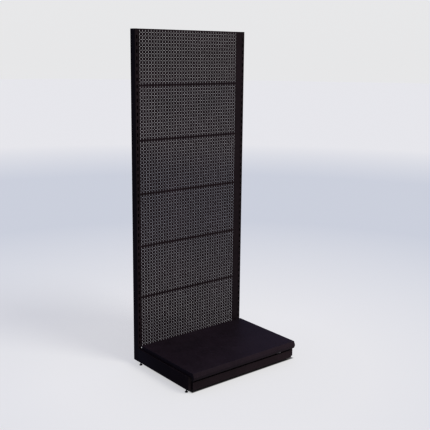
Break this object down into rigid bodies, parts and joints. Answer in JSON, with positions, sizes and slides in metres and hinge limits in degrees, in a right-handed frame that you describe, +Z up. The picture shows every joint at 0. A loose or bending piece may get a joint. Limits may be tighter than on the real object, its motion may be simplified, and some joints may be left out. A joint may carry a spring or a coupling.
{
  "type": "gondola shelving unit",
  "caption": "Tall single-sided gondola shelving unit: slotted uprights, perforated back panels, and a base shelf on levelling legs behind a pull-off kick plate.",
  "frame": {"origin": "on the floor, under the centre of the bounding box", "axes": "+Z up, -Y out of the front of the unit towards the shopper, +X to the right seen from the front"},
  "size_m": [1.03, 0.749, 2.54],
  "materials": {
    "frame_paint": "fine-textured satin black powder coat",
    "panel_paint": "fine-textured satin black powder coat on punched sheet",
    "deck_paint": "fine-textured satin black powder coat",
    "kick_paint": "fine-textured satin black powder coat",
    "cap_plastic": "moulded black plastic",
    "zinc_steel": "zinc-plated steel",
    "foot_plastic": "moulded black plastic"
  },
  "bodies": {
    "frame": {"upright_left": "frame_paint", "upright_right": "frame_paint", "base_leg_left": "frame_paint", "base_leg_right": "frame_paint", "leg_hook_bracket_left": "frame_paint", "leg_hook_bracket_right": "frame_paint", "cross_bar": "frame_paint", "cross_bar_plate_left": "frame_paint", "cross_bar_plate_right": "frame_paint", "panel_clips_left": "frame_paint", "panel_clips_right": "frame_paint", "back_panel_1": "panel_paint", "back_panel_2": "panel_paint", "back_panel_3": "panel_paint", "back_panel_4": "panel_paint", "back_panel_5": "panel_paint", "back_panel_6": "panel_paint", "upright_cap_left": "cap_plastic", "upright_cap_right": "cap_plastic", "kick_clip_left": "zinc_steel", "kick_clip_right": "zinc_steel", "panel_clip_rivets": "zinc_steel", "cross_bar_screws": "zinc_steel", "foot_lock_nuts": "zinc_steel", "foot_weld_nuts": "zinc_steel"},
    "deck": {"base_deck": "deck_paint", "deck_stiffener_front": "deck_paint", "deck_stiffener_middle": "deck_paint", "deck_stiffener_rear": "deck_paint"},
    "kick": {"kick_plate": "kick_paint", "kick_plate_tabs": "kick_paint"},
    "pad_rear_left": {"foot_pad_rear_left": "foot_plastic"},
    "stud_rear_left": {"foot_stud_rear_left": "zinc_steel"},
    "pad_rear_right": {"foot_pad_rear_right": "foot_plastic"},
    "stud_rear_right": {"foot_stud_rear_right": "zinc_steel"},
    "pad_front_left": {"foot_pad_front_left": "foot_plastic"},
    "stud_front_left": {"foot_stud_front_left": "zinc_steel"},
    "pad_front_right": {"foot_pad_front_right": "foot_plastic"},
    "stud_front_right": {"foot_stud_front_right": "zinc_steel"}
  },
  "joints": [
    {"name": "foot_height_rear_left", "type": "slide", "parent": "frame", "child": "pad_rear_left", "axis": [0, 0, 1], "range_m": [-0.014, 0.008]},
    {"name": "foot_turn_rear_left", "type": "hinge", "parent": "pad_rear_left", "child": "stud_rear_left", "pos_m": [-0.5, 0.3005, 0.02], "axis": [0, 0, 1], "range_deg": [-4040, 2310]},
    {"name": "foot_height_rear_right", "type": "slide", "parent": "frame", "child": "pad_rear_right", "axis": [0, 0, 1], "range_m": [-0.014, 0.008]},
    {"name": "foot_turn_rear_right", "type": "hinge", "parent": "pad_rear_right", "child": "stud_rear_right", "pos_m": [0.5, 0.3005, 0.02], "axis": [0, 0, 1], "range_deg": [-4040, 2310]},
    {"name": "foot_height_front_left", "type": "slide", "parent": "frame", "child": "pad_front_left", "axis": [0, 0, 1], "range_m": [-0.014, 0.008]},
    {"name": "foot_turn_front_left", "type": "hinge", "parent": "pad_front_left", "child": "stud_front_left", "pos_m": [-0.5, -0.2875, 0.02], "axis": [0, 0, 1], "range_deg": [-4040, 2310]},
    {"name": "foot_height_front_right", "type": "slide", "parent": "frame", "child": "pad_front_right", "axis": [0, 0, 1], "range_m": [-0.014, 0.008]},
    {"name": "foot_turn_front_right", "type": "hinge", "parent": "pad_front_right", "child": "stud_front_right", "pos_m": [0.5, -0.2875, 0.02], "axis": [0, 0, 1], "range_deg": [-4040, 2310]},
    {"name": "deck_lift_off", "type": "slide", "parent": "frame", "child": "deck", "axis": [0, 0, 1], "range_m": [0, 0.25]},
    {"name": "kick_plate_pull", "type": "slide", "parent": "frame", "child": "kick", "axis": [0, -1, 0], "range_m": [0, 0.2]}
  ],
  "couplings": [
    {"joint": "foot_turn_rear_left", "follows": "foot_height_rear_left", "rad_per_m": 5026.5},
    {"joint": "foot_turn_rear_right", "follows": "foot_height_rear_right", "rad_per_m": 5026.5},
    {"joint": "foot_turn_front_left", "follows": "foot_height_front_left", "rad_per_m": 5026.5},
    {"joint": "foot_turn_front_right", "follows": "foot_height_front_right", "rad_per_m": 5026.5}
  ]
}
